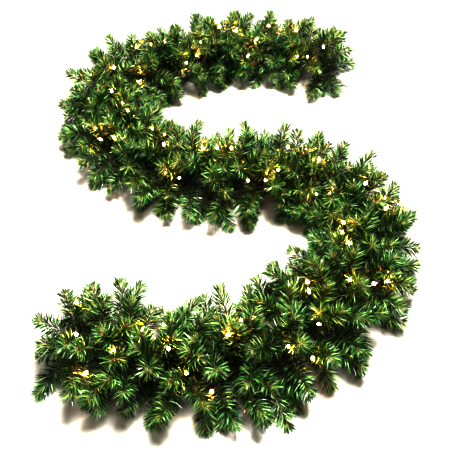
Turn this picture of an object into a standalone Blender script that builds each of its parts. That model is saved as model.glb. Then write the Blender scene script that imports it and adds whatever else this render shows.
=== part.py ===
"""A lit artificial pine garland, lying in an S on a floor. Metres, +Z up, the origin under its middle.

A steel rope runs the whole length, with a wire eye at each end. Sprays of five pine tips are wound on it, each tip
a stem of twisted wire that holds cut needles. A light string wanders through the tips, with a small two-pole
connector at each end.
"""

import math
import random

import bmesh
import bpy
import numpy as np
from mathutils import Matrix, Vector

UP = Vector((0, 0, 1))
MM = 0.001
SEED = 9

# The rope's route, from the end far from the viewer to the near one: each run's length in metres, and how many
# degrees the rope turns to the left along it. The lengths add up to nine feet.
RUNS = ((0.492, 75.4), (0.095, -18.9), (0.431, 117.8), (0.478, 57.6), (0.399, -116.4), (0.723, -95.4), (0.122, 7.9))
ROUTE_START = Vector((0.343, 0.478, 0))
START_HEADING = math.radians(137.6)
GARLAND_LENGTH = sum(length for length, _ in RUNS)

# The rope, and the wire eye at each end of it
ROPE_HEIGHT = 50 * MM
ROPE_RADIUS = 3.0 * MM
ROPE_SIDES = 5
EYE_WIRE_RADIUS = 1.6 * MM
EYE_RADIUS = 12 * MM
EYE_TURN = math.radians(325)
EYE_STEPS = 11
SHANK_LENGTH = 62 * MM
SHANK_STEPS = 5
TOUCH_GAP = 0.3 * MM

# The light string. Places and widths along it are counted in lamps. It swings from side to side over the rope by
# waves, each with its degrees, radians per lamp and start, and it comes down on the rope at its ties.
LAMPS = 70
CORD_RADIUS = 1.5 * MM
CORD_SIDES = 4
CORD_REACH = 52 * MM
CORD_DIP = 11 * MM
CORD_SWINGS = ((58, 1.15, 0), (13, 2.9, 1))
CORD_SEAT = 0.05
CORD_TIES = (3, 20, 35, 50, 67)
TIE_WIDTH, TIE_REACH = 0.1, 0.45
SOCKET_LENGTH = 17 * MM
SOCKET_RADIUS = 4 * MM
LAMP_REACH = 34 * MM
LAMP_LEAN, LAMP_TURN = 0.3, 5.3
CONNECTOR_SIZE = Vector((9 * MM, 13 * MM, 26 * MM))
CONNECTOR_BEVEL = 1.5 * MM

# The sprays and their tips. Angles are in degrees round the rope: 0 is level on its right, 90 straight up.
SPRAYS = 46
SLEEVE_LENGTH = 10 * MM
SLEEVE_SIDES = 6
SLEEVE_INNER_RADIUS = 3.8 * MM
SLEEVE_OUTER_RADIUS = 6.8 * MM
TIP_LENGTH = 124 * MM
TIP_ANGLES = (-10, 40, 90, 140, 190)
TIP_LEANS = (18, -27, 38, -30, 20)
TIP_REACHES = (1.04, 0.98, 0.94, 0.98, 1.04)
SHORTEST_TIP, LONGEST_TIP = 0.93, 1.05
ANGLE_SHIFT = 9
BOW = 12 * MM
LOWEST_TIP = 11 * MM
HIGHEST_TIP = 142 * MM
STEM_RADIUS = 1.9 * MM
STEM_TAPER = (1.15, 0.4)
STEM_END = 0.6
STEM_SIDES = 3

# The needles: where each whorl sits along its stem, which of its six faces, in order round the stem, bear needles,
# and the bearing of the first
WHORLS = ((0.46, (0, 2, 3, 5), 45), (0.81, (0, 1, 2, 3, 4, 5), 30))
WHORL_WIDTH = 2.8 * MM
WHORL_STAGGER = 2.5 * MM
NEEDLE_LENGTH = 36 * MM
SHORTEST_NEEDLE, LONGEST_NEEDLE = 0.92, 1.06
NEEDLE_SPLAYS = (40, 64)
LEAST_SPLAY, MOST_SPLAY = 28, 84
END_NEEDLE_LENGTH = 16 * MM

# How the tips and needles find room: the thickness that each stretch of one takes up, how hard they try, and by how
# many degrees they stray at first and more at each try
STEM_SHARES = (0.12, 0.46, 0.81, 1)
STEM_ROOM = (3.8 * MM, STEM_RADIUS, STEM_RADIUS, STEM_RADIUS)
STEM_CLEARANCE = 7 * MM
STEM_TRIES = 400
STEM_STRAY = (5, 0.25)
NEEDLE_SHARES = (0.1, 0.4, 1)
NEEDLE_ROOM = (2.4 * MM, 1.4 * MM)
NEEDLE_CLEARANCE = 0.8 * MM
NEEDLE_TRIES = 200
NEEDLE_STRAY = (5, 0.3)
FULL_LENGTH_TRIES = 20
MOST_SHORTER = 0.8
NEIGHBOURHOOD = 60 * MM
FIXED = -1


def route_at(distance):
    """The point on the floor under the rope at that distance along it, and the rope's heading there."""
    place, heading = ROUTE_START.copy(), START_HEADING
    for length, turn in RUNS:
        step = min(max(distance, 0), length)
        bend = math.radians(turn) / length
        middle = heading + bend * step / 2
        place += math.sin(bend * step / 2) / (bend / 2) * Vector((math.cos(middle), math.sin(middle), 0))
        heading += bend * step
        distance -= length
    return place, heading


def rope_frame(distance):
    """The rope's centre there, its direction, and the level direction to its right."""
    place, heading = route_at(distance)
    along = Vector((math.cos(heading), math.sin(heading), 0))
    return place + ROPE_HEIGHT * UP, along, along.cross(UP)


def material(name, colour, roughness, metallic=0.0):
    made = bpy.data.materials.new(name)
    made.use_nodes = True
    shader = made.node_tree.nodes["Principled BSDF"]
    shader.inputs["Base Color"].default_value = (*colour, 1)
    shader.inputs["Roughness"].default_value = roughness
    shader.inputs["Metallic"].default_value = metallic
    return made


def mesh_object(name, bm, finish):
    mesh = bpy.data.meshes.new(name)
    bm.to_mesh(mesh)
    bm.free()
    mesh.materials.append(finish)
    bpy.context.scene.collection.objects.link(bpy.data.objects.new(name, mesh))


def tube(points, radii, sides, tops, turn=0.0):
    """A closed tube along the points, with one corner of each cross-section towards its top, or turned from it.

    It gives the mesh, and its rows of side faces."""
    bm = bmesh.new()
    rings = []
    for number, (point, radius, top) in enumerate(zip(points, radii, tops)):
        along = points[min(number + 1, len(points) - 1)] - points[max(number - 1, 0)]
        top = (top - top.project(along)).normalized()
        side = top.cross(along).normalized()
        angles = [turn + 2 * math.pi * k / sides for k in range(sides)]
        rings.append([bm.verts.new(point + radius * (math.sin(a) * side + math.cos(a) * top)) for a in angles])
    rows = []
    for first, second in zip(rings, rings[1:]):
        quads = zip(first, first[1:] + first[:1], second[1:] + second[:1], second)
        rows.append([bm.faces.new(quad) for quad in quads])
    bm.faces.new(rings[0][::-1])
    bm.faces.new(rings[-1])
    bmesh.ops.recalc_face_normals(bm, faces=bm.faces[:])
    return bm, rows


# Room: every stem, needle, cord and lamp is a row of straight stretches that nothing else may cross
class Room:
    """Straight stretches that are taken, each with its thickness and the number of whose it is."""

    def __init__(self):
        self.starts, self.ends = np.zeros((0, 3)), np.zeros((0, 3))
        self.radii, self.owners = np.zeros(0), np.zeros(0, int)

    def take(self, points, radii, owner=FIXED):
        rows = np.array(points)
        self.starts = np.append(self.starts, rows[:-1], axis=0)
        self.ends = np.append(self.ends, rows[1:], axis=0)
        self.radii = np.append(self.radii, np.zeros(len(rows) - 1) + radii)
        self.owners = np.append(self.owners, np.full(len(rows) - 1, owner))

    def gap(self, points, radii, but_not=()):
        """The clear width between a new line and all that is taken near it, leaving out the owners named."""
        return min(self.stretch_gap(*stretch, but_not) for stretch in zip(points, points[1:], radii))

    def stretch_gap(self, start, end, radius, but_not):
        """The same for one straight stretch, by the nearest points of two stretches in space."""
        start, end = np.array(start), np.array(end)
        middles = (self.starts + self.ends) / 2
        near = np.abs(middles - (start + end) / 2).max(axis=1) < NEIGHBOURHOOD
        for owner in but_not:
            near &= self.owners != owner
        if not near.any():
            return NEIGHBOURHOOD
        first, second = self.starts[near], self.ends[near]
        one, two, apart = end - start, second - first, start - first
        own, theirs = one @ one, (two * two).sum(axis=1)
        across, lead, trail = two @ one, apart @ one, (two * apart).sum(axis=1)
        spread = np.maximum(own * theirs - across * across, 1e-14)
        share = np.clip((across * trail - lead * theirs) / spread, 0, 1)
        other = np.clip((across * share + trail) / theirs, 0, 1)
        share = np.clip((across * other - lead) / own, 0, 1)
        nearest = start + share[:, None] * one - first - other[:, None] * two
        return float((np.linalg.norm(nearest, axis=1) - self.radii[near]).min()) - radius


# The rope and its eyes
def rope_distances():
    """Where the rope's corners are. Each sleeve sits in the middle of a straight stretch between two of them."""
    stretch = GARLAND_LENGTH / (2 * SPRAYS)
    return [0, *((number + 0.5) * stretch for number in range(2 * SPRAYS)), GARLAND_LENGTH]


def rope(finish, room):
    points = [rope_frame(distance)[0] for distance in rope_distances()]
    bm, _ = tube(points, [ROPE_RADIUS] * len(points), ROPE_SIDES, [UP] * len(points))
    room.take(points, ROPE_RADIUS)
    mesh_object("rope", bm, finish)


def eye_points():
    """The eye's wire: level at first, then down to the floor and round the eye. Each is (out, aside, down)."""
    drop = ROPE_HEIGHT - EYE_WIRE_RADIUS * math.cos(math.pi / ROPE_SIDES)
    points = []
    for step in range(SHANK_STEPS + 1):
        slope = max(step - 1, 0) / (SHANK_STEPS - 1)
        points.append((TOUCH_GAP + SHANK_LENGTH * step / SHANK_STEPS, 0, drop * slope * slope * (3 - 2 * slope)))
    for step in range(1, EYE_STEPS + 1):
        turn = EYE_TURN * step / EYE_STEPS
        out = points[SHANK_STEPS][0] + EYE_RADIUS * math.sin(turn)
        points.append((out, EYE_RADIUS * (1 - math.cos(turn)), drop))
    return points


def eye(name, distance, outward, finish, room):
    """The eye at one end of the rope: outward is -1 at its start and 1 at its finish."""
    centre, along, across = rope_frame(distance)
    points = [centre + outward * out * along + aside * across - down * UP for out, aside, down in eye_points()]
    radii = [ROPE_RADIUS] + [EYE_WIRE_RADIUS] * (len(points) - 1)
    bm, _ = tube(points, radii, ROPE_SIDES, [UP] * len(points))
    room.take(points, ROPE_RADIUS)
    mesh_object(name, bm, finish)


# The light string
def tied(lamp):
    """How far the cord has come down there: 0 is among the tips, and 1 is on the rope."""
    away = min(abs(lamp + 0.5 - tie) for tie in CORD_TIES)
    share = min(max((TIE_REACH - away) / (TIE_REACH - TIE_WIDTH), 0), 1)
    return share * share * (3 - 2 * share)


def cord_at(lamp):
    """The cord's point, counted in lamps: it wanders from side to side over the rope and lifts at each lamp."""
    angle = math.radians(90 + sum(swing * math.sin(rate * lamp + start) for swing, rate, start in CORD_SWINGS))
    reach = CORD_REACH + CORD_DIP * math.cos(2 * math.pi * lamp)
    centre, _, across = rope_frame((lamp + 0.5) * GARLAND_LENGTH / LAMPS)
    loose = reach * (math.cos(angle) * across + math.sin(angle) * UP)
    seated = (ROPE_RADIUS + TOUCH_GAP + CORD_RADIUS * math.cos(math.pi / CORD_SIDES)) * UP
    return centre + loose.lerp(seated, tied(lamp))


def lamp_axis(lamp):
    """The direction that a lamp stands in: out from the rope, and a little along it, to and fro."""
    centre, along, _ = rope_frame((lamp + 0.5) * GARLAND_LENGTH / LAMPS)
    return ((cord_at(lamp) - centre).normalized() + LAMP_LEAN * math.sin(LAMP_TURN * lamp) * along).normalized()


def light_string(finish, room):
    stations = [-0.5]
    for lamp in range(LAMPS):
        stations += [lamp - CORD_SEAT, lamp + CORD_SEAT, lamp + 0.5]
    for tie in CORD_TIES:
        stations += [tie - 0.5 - TIE_WIDTH, tie - 0.5 + TIE_WIDTH]
    stations.sort()
    points = [cord_at(station) for station in stations]
    outs = [UP if tied(station) else lamp_axis(min(max(round(station), 0), LAMPS - 1)) for station in stations]
    bm, rows = tube(points, [CORD_RADIUS] * len(points), CORD_SIDES, outs, turn=math.pi / CORD_SIDES)
    room.take(points, CORD_RADIUS)
    for lamp in range(LAMPS):
        axis = lamp_axis(lamp)
        row = rows[stations.index(lamp - CORD_SEAT)]
        seat = max(row, key=lambda face: face.normal.dot(axis))
        raise_lamp(bm, seat, cord_at(lamp), axis)
        room.take([cord_at(lamp), cord_at(lamp) + LAMP_REACH * axis], SOCKET_RADIUS)
    mesh_object("light_string", bm, finish)
    return points


def raised(bm, seat, places):
    """Extrudes a face to new places for its corners, and gives the new end face."""
    (end,) = bmesh.ops.extrude_discrete_faces(bm, faces=[seat])["faces"]
    for vertex, place in zip(end.verts, places):
        vertex.co = place
    return end


def corner_directions(seat, axis):
    """One direction across the axis for each corner of a face, evenly spaced, in the order of the corners."""
    first = seat.verts[0].co - seat.calc_center_median()
    first = (first - first.project(axis)).normalized()
    turns = [2 * math.pi * k / len(seat.verts) for k in range(len(seat.verts))]
    return [math.cos(turn) * first + math.sin(turn) * axis.cross(first) for turn in turns]


def raise_lamp(bm, seat, base, axis):
    """Pulls a socket, and the pointed lamp in it, out of a flat face of the cord."""
    corners = corner_directions(seat, axis)
    rim = raised(bm, seat, [base + SOCKET_LENGTH * axis + SOCKET_RADIUS * corner for corner in corners])
    bmesh.ops.poke(bm, faces=[rim])["verts"][0].co = base + LAMP_REACH * axis


def connector(name, end, before, finish, room):
    """A small two-pole connector on an end of the cord, in line with it."""
    axis = (end - before).normalized()
    length = CONNECTOR_SIZE.z
    bm = bmesh.new()
    bmesh.ops.create_cube(bm, size=1)
    bmesh.ops.scale(bm, vec=CONNECTOR_SIZE, verts=bm.verts[:])
    bmesh.ops.bevel(
        bm, geom=bm.edges[:], offset=CONNECTOR_BEVEL, segments=1, profile=0.5, affect="EDGES", material=-1)
    turn = axis.to_track_quat("Z", "X").to_matrix().to_4x4()
    place = Matrix.Translation(end + (TOUCH_GAP + length / 2) * axis)
    bmesh.ops.transform(bm, matrix=place @ turn, verts=bm.verts[:])
    room.take([end, end + length * axis], CONNECTOR_SIZE.y / 2)
    mesh_object(name, bm, finish)


# The sprays
class Tip:
    """One pine tip: a bowed stem that leaves its root in a direction."""

    def __init__(self, number, root, direction, length, bow):
        self.number, self.root, self.direction, self.length, self.bow = number, root, direction, length, bow

    def at(self, share):
        return self.root + share * self.length * self.direction + share * share * self.bow

    def heading(self):
        """The stem's direction near its end."""
        return (self.at(1) - self.at(0.9)).normalized()

    def end(self):
        """The point of the needle that carries on from the stem, no lower than the floor."""
        point = self.at(1) + END_NEEDLE_LENGTH * self.heading()
        point.z = max(point.z, 0)
        return point

    def line(self):
        return [*(self.at(share) for share in STEM_SHARES), self.end()]

    def owner(self, order):
        """The number under which room is taken: for the stem with order 0, and for its whorls with 1 and 2."""
        return self.number * (1 + len(WHORLS)) + order


def sleeve_place(spray):
    """The middle and the direction of the straight stretch of rope that this spray is wound on."""
    start, end = (rope_frame(distance)[0] for distance in rope_distances()[2 * spray + 1:2 * spray + 3])
    return (start + end) / 2, (end - start).normalized()


def sleeve(spray):
    """Where a spray's wires are wound round the rope: a short six-sided ring that the rope runs through."""
    centre, along = sleeve_place(spray)
    bm = bmesh.new()
    edges = set()
    for radius in (SLEEVE_INNER_RADIUS, SLEEVE_OUTER_RADIUS):
        corners = bmesh.ops.create_circle(bm, segments=SLEEVE_SIDES, radius=radius)["verts"]
        edges |= {edge for corner in corners for edge in corner.link_edges}
    faces = bmesh.ops.bridge_loops(bm, edges=list(edges))["faces"]
    made = bmesh.ops.extrude_face_region(bm, geom=faces)["geom"]
    moved = [part for part in made if isinstance(part, bmesh.types.BMVert)]
    bmesh.ops.translate(bm, vec=(0, 0, SLEEVE_LENGTH), verts=moved)
    place = Matrix((along.cross(UP), UP, -along)).transposed().to_4x4()
    place.translation = centre + SLEEVE_LENGTH / 2 * along
    turn = Matrix.Rotation(math.pi / SLEEVE_SIDES, 4, "Z")
    bmesh.ops.transform(bm, matrix=place @ turn, verts=bm.verts[:])
    bmesh.ops.recalc_face_normals(bm, faces=bm.faces[:])
    outside = [face for face in bm.faces if face.normal.dot(face.calc_center_median() - centre) > SLEEVE_LENGTH / 2]
    bmesh.ops.triangulate(bm, faces=outside)
    return bm


def seat_for(bm, spray, angle, lean):
    """The triangle of the sleeve's outside that faces that angle, on the side that the tip leans to."""
    centre, along = sleeve_place(spray)
    angle = math.radians(angle)
    wanted = SLEEVE_OUTER_RADIUS * (math.cos(angle) * along.cross(UP) + math.sin(angle) * UP)
    wanted += centre + math.copysign(SLEEVE_LENGTH / 6, lean) * along
    threes = [face for face in bm.faces if len(face.verts) == STEM_SIDES]
    return min(threes, key=lambda face: (face.calc_center_median() - wanted).length)


def draw_tip(spray, place, lean, root, draw, room):
    """A tip whose stem keeps clear of all there is. It is aimed again, more and more freely, until it does."""
    along = sleeve_place(spray)[1]
    across = along.cross(UP)
    shift = ANGLE_SHIFT if spray % 2 else -ANGLE_SHIFT
    best, best_gap = None, -1.0
    for attempt in range(STEM_TRIES):
        stray = STEM_STRAY[0] + STEM_STRAY[1] * attempt
        angle = math.radians(TIP_ANGLES[place] + shift + draw.uniform(-stray, stray))
        tilt = math.radians(lean + draw.uniform(-stray, stray))
        length = TIP_LENGTH * TIP_REACHES[place] * draw.uniform(SHORTEST_TIP, LONGEST_TIP)
        bow = BOW * (draw.uniform(-1, 1) * UP + draw.uniform(-1, 1) * along)
        direction = math.cos(tilt) * (math.cos(angle) * across + math.sin(angle) * UP) + math.sin(tilt) * along
        tip = Tip(spray * len(TIP_ANGLES) + place, root, direction, length, bow)
        height = tip.at(1).z
        tip.bow = bow + (min(max(height, LOWEST_TIP), HIGHEST_TIP) - height) * UP
        gap = room.gap(tip.line(), STEM_ROOM)
        if gap > best_gap:
            best, best_gap = tip, gap
        if gap > STEM_CLEARANCE:
            break
    room.take(best.line(), STEM_ROOM, best.owner(0))
    return best


def draw_needle(tip, base, aim, splay, owner, draw, room):
    """Where a needle from base ends. It is aimed again, then made shorter, until it clears all else and the floor."""
    forward = tip.heading()
    aim = (aim - aim.project(forward)).normalized()
    best, best_gap = None, -1.0
    for attempt in range(NEEDLE_TRIES):
        stray = NEEDLE_STRAY[0] + NEEDLE_STRAY[1] * attempt
        angle = math.radians(min(max(splay + draw.uniform(-stray, stray), LEAST_SPLAY), MOST_SPLAY))
        turn = math.radians(draw.uniform(-stray, stray))
        outward = math.cos(turn) * aim + math.sin(turn) * forward.cross(aim)
        shorter = 1 - MOST_SHORTER * max(0, attempt - FULL_LENGTH_TRIES) / NEEDLE_TRIES
        length = NEEDLE_LENGTH * draw.uniform(SHORTEST_NEEDLE, LONGEST_NEEDLE) * shorter
        end = base + length * (math.cos(angle) * forward + math.sin(angle) * outward)
        end.z = max(end.z, 0)
        line = [base.lerp(end, share) for share in NEEDLE_SHARES]
        gap = room.gap(line, NEEDLE_ROOM, but_not=(tip.owner(0), owner))
        if gap > best_gap:
            best, best_gap = line, gap
        if gap > NEEDLE_CLEARANCE:
            break
    room.take(best, NEEDLE_ROOM, owner)
    return best[-1]


def raise_tip(bm, seat, tip, draw, room):
    """Pulls a three-sided stem out of its seat, and draws triangles of its whorls out into needles."""
    corners = corner_directions(seat, tip.direction)
    forward, sideways = corners[0], tip.direction.cross(corners[0])
    for order, (whorl, bearers, first_bearing) in enumerate(WHORLS):
        for edge in (-0.5, 0.5):
            shares = [whorl + (edge * WHORL_WIDTH + (k - 1) * WHORL_STAGGER) / tip.length for k in range(STEM_SIDES)]
            radii = [STEM_RADIUS * (STEM_TAPER[0] - STEM_TAPER[1] * share) for share in shares]
            seat = raised(bm, seat, [tip.at(s) + r * corner for s, r, corner in zip(shares, radii, corners)])
        faces = [face for edge in seat.edges for face in edge.link_faces if face != seat]
        middle = tip.at(whorl)

        def bearing(face):
            out = face.calc_center_median() - middle
            return math.atan2(out.dot(sideways), out.dot(forward)) % (2 * math.pi)

        faces = sorted(bmesh.ops.triangulate(bm, faces=faces)["faces"], key=bearing)
        for number, bearer in enumerate(bearers):
            turn = math.radians(first_bearing + 360 * number / len(bearers))
            aim = math.cos(turn) * forward + math.sin(turn) * sideways
            face, splay = faces[bearer], NEEDLE_SPLAYS[number % len(NEEDLE_SPLAYS)]
            end = draw_needle(tip, face.calc_center_median(), aim, splay, tip.owner(1 + order), draw, room)
            bmesh.ops.poke(bm, faces=[face])["verts"][0].co = end
    seat = raised(bm, seat, [tip.at(1) + STEM_END * STEM_RADIUS * corner for corner in corners])
    bmesh.ops.poke(bm, faces=[seat])["verts"][0].co = tip.end()


def sprays(finish, room):
    """All stems take their room before the first needle, so that every needle keeps clear of every stem."""
    draw = random.Random(SEED)
    grown = []
    for spray in range(SPRAYS):
        bm = sleeve(spray)
        seats = []
        for place, angle in enumerate(TIP_ANGLES):
            lean = TIP_LEANS[place] if spray % 2 else -TIP_LEANS[place]
            seat = seat_for(bm, spray, angle, lean)
            seats.append((seat, draw_tip(spray, place, lean, seat.calc_center_median(), draw, room)))
        grown.append((bm, seats))
    for number, (bm, seats) in enumerate(grown, start=1):
        for seat, tip in seats:
            raise_tip(bm, seat, tip, draw, room)
        mesh_object(f"spray_{number:02d}", bm, finish)


def garland():
    for old in list(bpy.data.objects):
        bpy.data.objects.remove(old)
    wire_finish = material("green_coated_wire", (0.03, 0.06, 0.03), 0.6)
    needle_finish = material("green_needle_film", (0.02, 0.16, 0.03), 0.42)
    cord_finish = material("green_cord_plastic", (0.015, 0.05, 0.02), 0.45)
    room = Room()
    rope(wire_finish, room)
    eye("far_eye", 0, -1, wire_finish, room)
    eye("near_eye", GARLAND_LENGTH, 1, wire_finish, room)
    cord = light_string(cord_finish, room)
    connector("far_connector", cord[0], cord[1], cord_finish, room)
    connector("near_connector", cord[-1], cord[-2], cord_finish, room)
    sprays(needle_finish, room)


garland()
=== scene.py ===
import math
import random

import bmesh
import bpy
import numpy as np
from mathutils import Matrix, Vector


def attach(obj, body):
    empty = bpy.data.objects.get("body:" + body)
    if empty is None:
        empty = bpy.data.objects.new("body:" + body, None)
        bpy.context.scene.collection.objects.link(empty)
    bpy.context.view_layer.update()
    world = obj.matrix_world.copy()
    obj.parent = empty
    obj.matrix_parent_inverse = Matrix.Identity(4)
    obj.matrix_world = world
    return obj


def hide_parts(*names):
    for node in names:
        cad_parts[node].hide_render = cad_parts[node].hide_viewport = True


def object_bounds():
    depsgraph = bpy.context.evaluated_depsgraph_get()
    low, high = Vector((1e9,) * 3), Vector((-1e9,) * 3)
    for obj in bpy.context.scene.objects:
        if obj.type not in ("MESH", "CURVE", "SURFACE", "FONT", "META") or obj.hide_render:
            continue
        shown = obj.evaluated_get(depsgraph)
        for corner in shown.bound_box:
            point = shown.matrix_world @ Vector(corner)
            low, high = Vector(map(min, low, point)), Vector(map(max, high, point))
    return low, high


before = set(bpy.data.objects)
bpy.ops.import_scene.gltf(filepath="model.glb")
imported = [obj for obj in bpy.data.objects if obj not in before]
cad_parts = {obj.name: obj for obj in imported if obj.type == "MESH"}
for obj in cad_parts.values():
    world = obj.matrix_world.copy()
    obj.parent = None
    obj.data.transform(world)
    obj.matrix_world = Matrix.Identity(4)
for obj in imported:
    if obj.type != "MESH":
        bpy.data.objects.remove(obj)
cad_low, cad_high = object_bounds()

# Floor, light and camera
# The garland lies on a wide sheet of smooth white board, in a room with pale walls and a dim ceiling. Two
# soft lights hang over it, and the camera looks down on it as a person would who stands before it.
MM = 0.001
FLOOR_HALF = 2.6
BOARD_DARK, BOARD_PALE = (0.52, 0.505, 0.475, 1), (0.60, 0.585, 0.555, 1)
PALE_WALL = (0.72, 0.71, 0.69, 1)
DIM_CEILING = (0.050, 0.035, 0.017, 1)
WALL_TOP, CEILING_START = 0.04, 0.2
CAMERA_PLACE = (0.0068, -1.1594, 1.2417)
CAMERA_PITCH = math.radians(50.59)
CAMERA_LENS = 48


class Value:
    """A shader value. Python's operators on it add Math nodes."""

    def __init__(self, finish, socket):
        self.finish, self.socket = finish, socket

    def maths(self, operation, *others):
        return self.finish.node("Math", {"operation": operation}, dict(enumerate(others)))

    def __add__(self, other):
        return self.maths("ADD", self, other)

    def __sub__(self, other):
        return self.maths("SUBTRACT", self, other)

    def __rsub__(self, other):
        return self.maths("SUBTRACT", other, self)

    def __mul__(self, other):
        return self.maths("MULTIPLY", self, other)

    def __pow__(self, other):
        return self.maths("POWER", self, other)

    __radd__, __rmul__ = __add__, __mul__

    def clamped(self):
        return self.finish.node("Clamp", {}, {"Value": self})


class Finish:
    """A material being made: a Principled shader, whose constants go straight on its sockets."""

    def __init__(self, name, constants):
        self.material = bpy.data.materials.new(name)
        self.material.use_nodes = True
        self.tree = self.material.node_tree
        self.shader = self.tree.nodes["Principled BSDF"]
        for socket, constant in constants.items():
            self.shader.inputs[socket].default_value = constant

    def node(self, kind, settings, values, output=0):
        """Any other node: its settings first, then the value or the link of each of its sockets."""
        made = self.tree.nodes.new("ShaderNode" + kind)
        for name, setting in settings.items():
            setattr(made, name, setting)
        for socket, value in values.items():
            if isinstance(value, Value):
                self.tree.links.new(value.socket, made.inputs[socket])
            else:
                made.inputs[socket].default_value = value
        return Value(self, made.outputs[output])

    def feed(self, socket, value):
        self.tree.links.new(value.socket, self.shader.inputs[socket])

    def read(self, attribute):
        """A number that the mesh holds at each of its points."""
        return self.node("Attribute", {"attribute_name": attribute}, {}, output=2)

    def place(self):
        return self.node("TexCoord", {}, {}, output=3)

    def noise(self, scale, detail=2.0):
        """Even grey clouds of about one metre divided by the scale."""
        return self.node("TexNoise", {}, {"Vector": self.place(), "Scale": scale, "Detail": detail})

    def blend(self, share, first, second):
        """Goes from the first colour to the second as the share goes from 0 to 1."""
        return self.node("Mix", {"data_type": "RGBA"}, {0: share, 6: first, 7: second}, output=2)

    def bump(self, height, distance, strength):
        values = {"Height": height, "Distance": distance, "Strength": strength}
        self.feed("Normal", self.node("Bump", {}, values))


def floor_finish():
    """White melamine board, with the faint mottling that keeps a large white sheet from looking empty."""
    finish = Finish("white_board", {"IOR": 1.5})
    cloud = finish.noise(3.0)
    finish.feed("Base Color", finish.blend(cloud, BOARD_DARK, BOARD_PALE))
    finish.feed("Roughness", 0.2 + 0.12 * cloud)
    finish.bump(finish.noise(900.0), distance=0.02 * MM, strength=0.3)
    return finish.material


def soft_light(name, size, power, colour, place):
    light = bpy.data.lights.new(name, "AREA")
    light.size = size
    light.energy = power
    light.color = colour
    lamp = bpy.data.objects.new(name, light)
    lamp.location = place
    lamp.rotation_euler = (-Vector(place)).to_track_quat("-Z", "Y").to_euler()
    bpy.context.scene.collection.objects.link(lamp)


class RoomLight(Finish):
    """What shines on the scene from all around, made of nodes as a finish is."""

    def __init__(self, world):
        world.use_nodes = True
        self.tree = world.node_tree
        self.shader = self.tree.nodes["Background"]


floor_bm = bmesh.new()
bmesh.ops.create_grid(floor_bm, x_segments=1, y_segments=1, size=FLOOR_HALF)
floor_mesh = bpy.data.meshes.new("floor")
floor_bm.to_mesh(floor_mesh)
floor_bm.free()
floor_mesh.materials.append(floor_finish())
floor = bpy.data.objects.new("floor", floor_mesh)
bpy.context.scene.collection.objects.link(floor)

soft_light("light_above", size=0.75, power=240, colour=(1.0, 0.985, 0.95), place=(0.3, 0.06, 3.0))
soft_light("light_before", size=1.6, power=20, colour=(1.0, 0.95, 0.86), place=(-0.6, -1.5, 2.0))
world = bpy.data.worlds.new("pale_room")
room_light = RoomLight(world)
direction = room_light.node("TexCoord", {}, {}, output=0)
height = room_light.node("SeparateXYZ", {}, {0: direction}, output=2)
rise = room_light.node("MapRange", {}, {"Value": height, "From Min": WALL_TOP, "From Max": CEILING_START})
room_light.feed("Color", room_light.blend(rise, PALE_WALL, DIM_CEILING))
bpy.context.scene.world = world
view = bpy.context.scene.view_settings
view.view_transform = "Standard"
view.gamma = 0.49
view.exposure = 0.46

camera_data = bpy.data.cameras.new("camera")
camera_data.lens = CAMERA_LENS
camera = bpy.data.objects.new("camera", camera_data)
camera.location = CAMERA_PLACE
camera.rotation_euler = (math.pi / 2 - CAMERA_PITCH, 0, 0)
bpy.context.scene.collection.objects.link(camera)
bpy.context.scene.camera = camera

# The rope
# Two steel wires with a dark green coat, twisted into a rope nine feet long that a hand can bend. Everything
# else hangs on it. It lies in an S of arcs, each with its length in metres and its turn in degrees.
UP = Vector((0, 0, 1))
RUNS = (
    (0.492, 75.4), (0.095, -18.9), (0.431, 117.8), (0.478, 57.6),
    (0.399, -116.4), (0.723, -95.4), (0.122, 7.9))
ROUTE_START = Vector((0.343, 0.478, 0))
START_HEADING = math.radians(137.6)
GARLAND_LENGTH = sum(length for length, _ in RUNS)
ROPE_HEIGHT = 50 * MM
ROPE_RADIUS = 3.0 * MM
ROPE_WIRE_RADIUS = 1.45 * MM
ROPE_PITCH = 19 * MM
ROPE_SAMPLES = 700
WIRE_TURN_STEPS = 10
WIRE_ROUNDNESS = 1
STRAND_SHARE = 0.98


def route_at(distance):
    """The point on the floor under the rope at that distance along it, and the rope's heading there."""
    place, heading = ROUTE_START.copy(), START_HEADING
    for length, turn in RUNS:
        step = min(max(distance, 0), length)
        bend = math.radians(turn) / length
        middle = heading + bend * step / 2
        place += math.sin(bend * step / 2) / (bend / 2) * Vector((math.cos(middle), math.sin(middle), 0))
        heading += bend * step
        distance -= length
    return place, heading


def rope_frame(distance):
    """The rope's centre there, its direction, and the level direction to its right."""
    place, heading = route_at(distance)
    along = Vector((math.cos(heading), math.sin(heading), 0))
    return place + ROPE_HEIGHT * UP, along, along.cross(UP)


class Line:
    """A smooth line in space. A piece that is made standing on Z is bent along it, without twisting."""

    def __init__(self, points, across):
        self.points = np.array(points)
        lengths = np.linalg.norm(np.diff(self.points, axis=0), axis=1)
        self.reach = np.append(0, np.cumsum(lengths))
        along = np.gradient(self.points, self.reach, axis=0)
        self.along = along / np.linalg.norm(along, axis=1, keepdims=True)
        sides = []
        side = np.array(across, float)
        for direction in self.along:
            side = side - side @ direction * direction
            side = side / np.linalg.norm(side)
            sides.append(side)
        self.across = np.array(sides)
        self.third = np.cross(self.along, self.across)

    def at(self, rows, heights):
        return np.stack([np.interp(heights, self.reach, rows[:, axis]) for axis in range(3)], axis=1)

    def bend(self, places):
        """Where places of the standing piece come to lie. Past the line's ends they go straight on."""
        on_line = np.clip(places[:, 2], 0, self.reach[-1])
        past = (places[:, 2] - on_line)[:, None] * self.at(self.along, on_line)
        outward = places[:, :1] * self.at(self.across, on_line)
        outward += places[:, 1:2] * self.at(self.third, on_line)
        return self.at(self.points, on_line) + past + outward


def places_of(mesh):
    rows = np.zeros(len(mesh.vertices) * 3, np.float32)
    mesh.vertices.foreach_get("co", rows)
    return rows.reshape(-1, 3).astype(float)


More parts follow.
